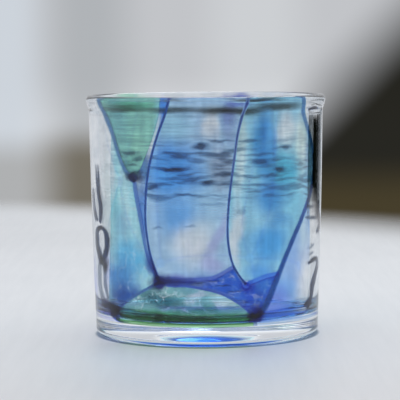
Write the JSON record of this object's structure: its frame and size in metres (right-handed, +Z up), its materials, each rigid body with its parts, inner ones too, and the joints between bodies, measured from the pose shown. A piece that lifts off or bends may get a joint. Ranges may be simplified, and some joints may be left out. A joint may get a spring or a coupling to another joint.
{
  "type": "rocks glass",
  "caption": "Heavy-based rocks glass: clear blown casing and lining over coloured glass plates joined by dark canes.",
  "frame": {"origin": "centre of the underside, on the surface the glass stands on", "axes": "+Z up along the glass's axis; -Y is the side that the picture shows, +X its right"},
  "size_m": [0.088, 0.088, 0.088],
  "materials": {
    "clear_glass": "polished, slightly rippled",
    "sea_green": "transparent, streaky",
    "sky_blue": "transparent, shading from deep to pale blue",
    "teal_blue": "transparent, shading",
    "pale_aqua": "transparent, shading",
    "ice_white": "slightly milky",
    "royal_blue": "transparent, deep",
    "violet_blue": "transparent, shading to clear",
    "navy_cane": "dark, soft edged",
    "violet_cane": "soft edged"
  },
  "bodies": {
    "root": {"outer_casing": "clear_glass", "inner_lining": "clear_glass", "wedge_green": "sea_green", "strip_pale": "ice_white", "lobe_blue": "sky_blue", "lobe_teal": "teal_blue", "side_aqua": "pale_aqua", "side_clear_left": "clear_glass", "lens_green": "sea_green", "foot_royal": "royal_blue", "foot_violet": "violet_blue", "side_clear_right": "clear_glass", "back_aqua": "pale_aqua", "back_band": "sky_blue", "back_sky": "sky_blue", "back_pale": "ice_white", "back_wedge": "sea_green", "back_violet": "violet_blue", "back_lens_teal": "teal_blue", "back_lens_blue": "royal_blue", "floor_green": "sea_green", "floor_blue": "sky_blue", "floor_aqua": "pale_aqua", "floor_violet": "violet_blue", "floor_hub": "royal_blue", "cane_wedge_left": "navy_cane", "cane_strip": "violet_cane", "cane_lobe_left": "navy_cane", "cane_lobe_mid": "navy_cane", "cane_lobe_right": "navy_cane", "cane_lobe_base": "violet_cane", "cane_teal_base": "violet_cane", "cane_lens_right": "navy_cane", "cane_lens_left": "navy_cane", "cane_back_right": "navy_cane", "cane_band_right": "violet_cane", "cane_band_left": "violet_cane", "cane_back_mid": "navy_cane", "cane_back_wedge_right": "navy_cane", "cane_back_wedge_left": "navy_cane", "cane_back_stem": "navy_cane", "cane_back_left": "navy_cane", "cane_back_lens_top_right": "navy_cane", "cane_back_lens_top_left": "navy_cane", "cane_back_lens_right": "navy_cane", "cane_back_lens_left": "navy_cane", "cane_back_foot": "navy_cane", "cane_floor_front": "navy_cane", "cane_floor_right": "navy_cane", "cane_floor_back": "navy_cane", "cane_floor_left": "navy_cane"}
  },
  "joints": []
}
